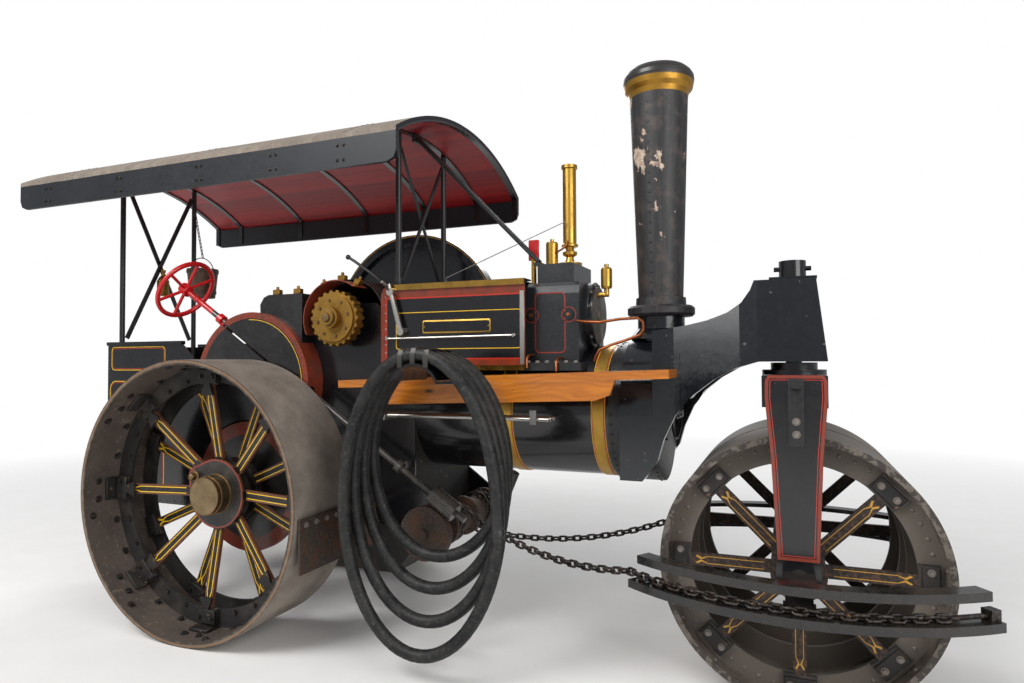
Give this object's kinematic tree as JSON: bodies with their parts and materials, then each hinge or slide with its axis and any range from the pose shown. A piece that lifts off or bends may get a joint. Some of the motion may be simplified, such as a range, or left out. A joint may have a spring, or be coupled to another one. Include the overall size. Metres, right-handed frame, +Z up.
{
  "type": "steam road roller",
  "caption": "Steam road roller with a canopy over the driver and engine, spoked rear wheels, a split front roll on a swinging fork and chain steering.",
  "frame": {"origin": "middle of the machine's bounding box, on the ground, measured without the hose", "axes": "+X forward to the front roll, +Y to the machine's left (flywheel side), +Z up"},
  "size_m": [5.88, 2.164, 3.3869],
  "materials": {
    "black_paint": "gloss",
    "dark_iron": "worn, brown with dust",
    "bright_steel": "oiled",
    "worn_steel": "worn bare treads",
    "wheel_paint": "black with yellow and red lining",
    "cylinder_grey": "satin",
    "red_paint": "gloss",
    "brass": "polished",
    "roof_felt": "weathered",
    "board_paint": "painted, satin",
    "varnished_wood": "varnished",
    "hose_rubber": "ribbed, dusty"
  },
  "bodies": {
    "machine": {"boiler_barrel": "black_paint", "boiler_bands": "brass", "firebox": "black_paint", "ash_pan": "dark_iron", "smokebox": "black_paint", "chimney": "black_paint", "chimney_cap": "brass", "saddle_casting": "black_paint", "cylinder_block": "cylinder_grey", "cylinder_brasses": "brass", "hornplates": "black_paint", "motion_cover": "black_paint", "crank_guard": "black_paint", "gear_cover": "black_paint", "final_drive_guard": "black_paint", "tender": "black_paint", "drawbar": "black_paint", "controls": "dark_iron", "canopy_roof": "roof_felt", "canopy_boards": "board_paint", "canopy_hoops": "black_paint", "canopy_pillars": "black_paint", "canopy_braces": "black_paint", "side_board": "varnished_wood", "tool_rods": "dark_iron", "rear_axle": "bright_steel", "rear_scrapers": "dark_iron", "steering_bearers": "black_paint", "hose_saddle": "black_paint", "chain_span_near": "dark_iron", "chain_span_far": "dark_iron", "hose": "hose_rubber", "hose_fittings": "dark_iron"},
    "smokebox_door": {"smokebox_door": "black_paint"},
    "crank": {"crankshaft": "bright_steel", "flywheel": "black_paint"},
    "steering_shaft": {"steering_column": "red_paint"},
    "drum": {"chain_drum": "dark_iron"},
    "rear_near": {"rear_wheel_near": "worn_steel", "rear_spokes_near": "wheel_paint", "final_gear": "red_paint"},
    "rear_far": {"rear_wheel_far": "worn_steel", "rear_spokes_far": "wheel_paint"},
    "forecarriage": {"fork": "black_paint", "king_pin": "black_paint", "front_axle": "bright_steel", "guide_bars": "black_paint", "guide_chains": "dark_iron"},
    "roll_near": {"front_roll_near": "worn_steel"},
    "roll_far": {"front_roll_far": "worn_steel"}
  },
  "joints": [
    {"name": "smokebox_door_hinge", "type": "hinge", "parent": "machine", "child": "smokebox_door", "pos_m": [1.465, 0.257, 1.42], "axis": [0, 0, 1], "range_deg": [0, 50]},
    {"name": "crank_turn", "type": "hinge", "parent": "machine", "child": "crank", "pos_m": [-0.515, 0, 1.93], "axis": [0, 1, 0], "continuous": true},
    {"name": "steer", "type": "hinge", "parent": "machine", "child": "forecarriage", "pos_m": [2.145, 0, 1.6], "axis": [0, 0, 1], "range_deg": [-24, 24], "deforming": ["chain_span_near", "chain_span_far"]},
    {"name": "drum_turn", "type": "hinge", "parent": "machine", "child": "drum", "pos_m": [0.115, 0, 0.641], "axis": [0, 1, 0], "range_deg": [-240, 240]},
    {"name": "hand_wheel_turn", "type": "hinge", "parent": "machine", "child": "steering_shaft", "pos_m": [-1.805, -0.498, 2.168], "axis": [0.8348, 0, -0.5505], "range_deg": [-2900, 2900]},
    {"name": "rear_near_turn", "type": "hinge", "parent": "machine", "child": "rear_near", "pos_m": [-1.205, -0.818, 0.838], "axis": [0, 1, 0], "continuous": true},
    {"name": "rear_far_turn", "type": "hinge", "parent": "machine", "child": "rear_far", "pos_m": [-1.205, 0.818, 0.838], "axis": [0, 1, 0], "continuous": true},
    {"name": "roll_near_turn", "type": "hinge", "parent": "forecarriage", "child": "roll_near", "pos_m": [2.145, -0.2835, 0.648], "axis": [0, 1, 0], "continuous": true},
    {"name": "roll_far_turn", "type": "hinge", "parent": "forecarriage", "child": "roll_far", "pos_m": [2.145, 0.2835, 0.648], "axis": [0, 1, 0], "continuous": true}
  ],
  "couplings": [
    {"joint": "drum_turn", "follows": "steer", "ratio": 9.8},
    {"joint": "hand_wheel_turn", "follows": "steer", "ratio": -117.6}
  ]
}
